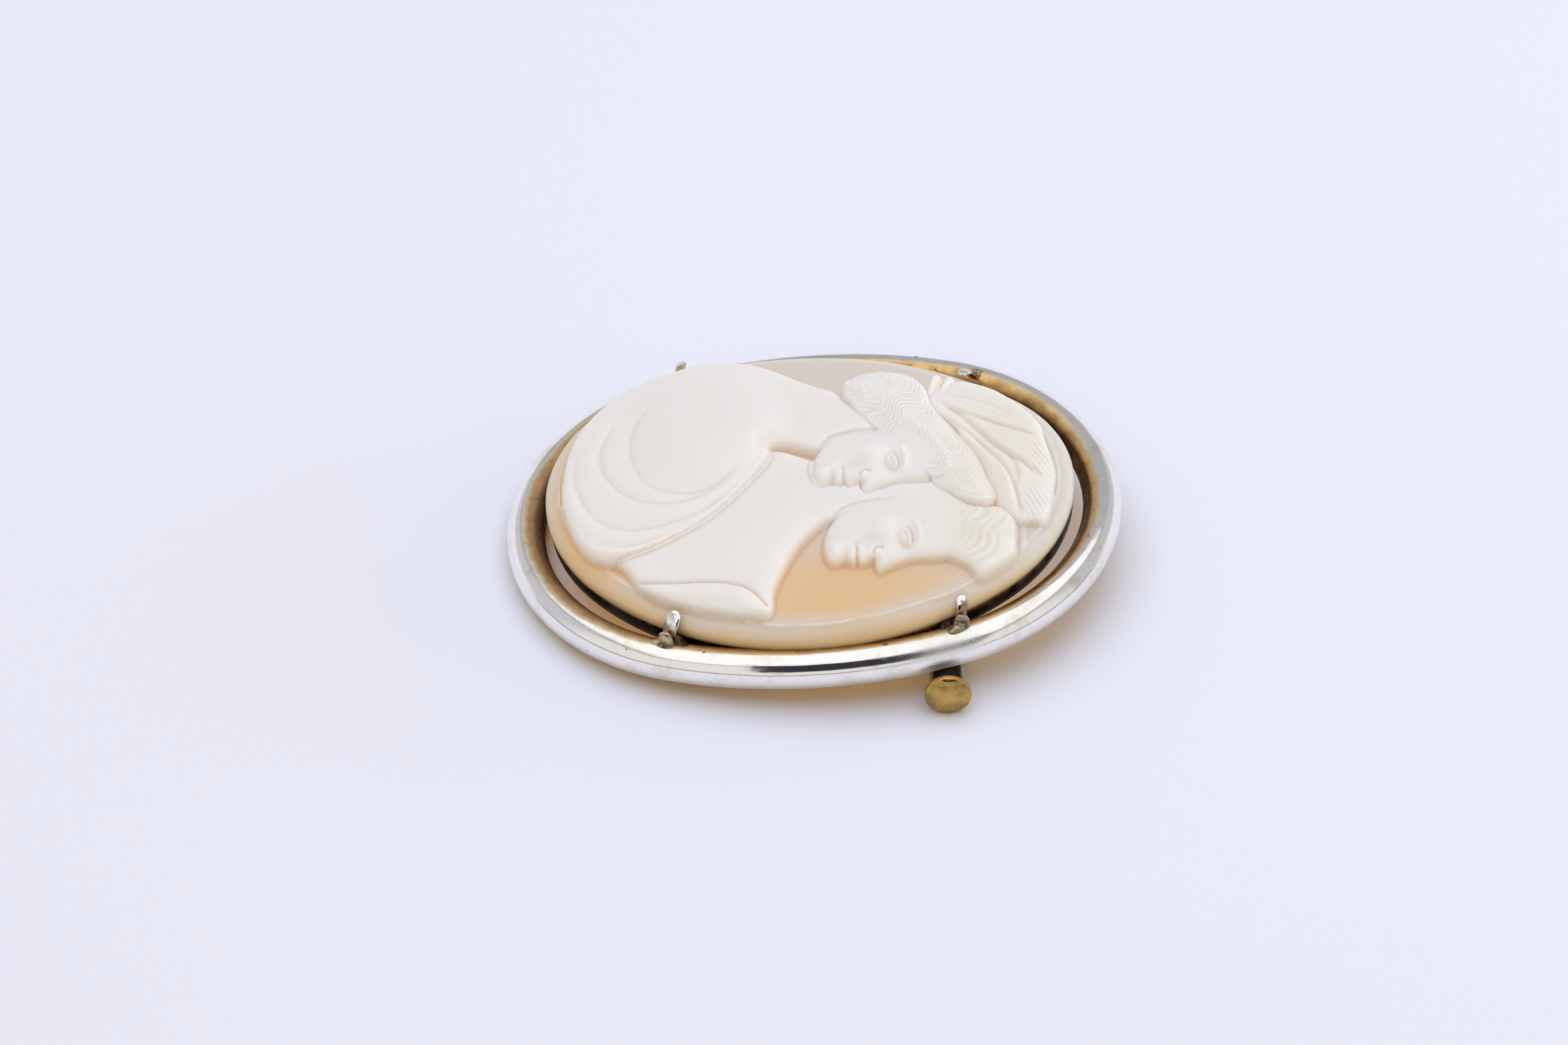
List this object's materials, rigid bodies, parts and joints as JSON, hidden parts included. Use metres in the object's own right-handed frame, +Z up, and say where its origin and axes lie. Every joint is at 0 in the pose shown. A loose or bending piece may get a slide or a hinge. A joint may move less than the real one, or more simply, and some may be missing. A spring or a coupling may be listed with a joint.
{
  "type": "cameo brooch",
  "caption": "Oval cameo brooch lying on its back: carved domed shell with twin profile heads in a round-tube silver rim, with prongs and a sliding-tube clasp.",
  "frame": {"origin": "on the surface that the brooch lies on, under the middle of its overall box", "axes": "+X along the oval towards the end that is raised, +Y away from the clasp's knob, +Z up from the surface"},
  "size_m": [0.0548, 0.0446, 0.0119],
  "materials": {
    "silver": "polished silver, lightly scratched, with a worn gold wash on the rim's inner slope",
    "shell": "carved shell, waxy, cream white over a peach ground",
    "pin_wire": "drawn wire, dull",
    "brass": "worn and slightly tarnished"
  },
  "bodies": {
    "brooch": {"setting": "silver", "cameo": "shell", "pin_stem": "pin_wire"},
    "plunger": {"clasp_plunger": "brass"}
  },
  "joints": [
    {"name": "clasp_slide", "type": "slide", "parent": "brooch", "child": "plunger", "axis": [0, -1, 0], "range_m": [0, 0.004]}
  ]
}
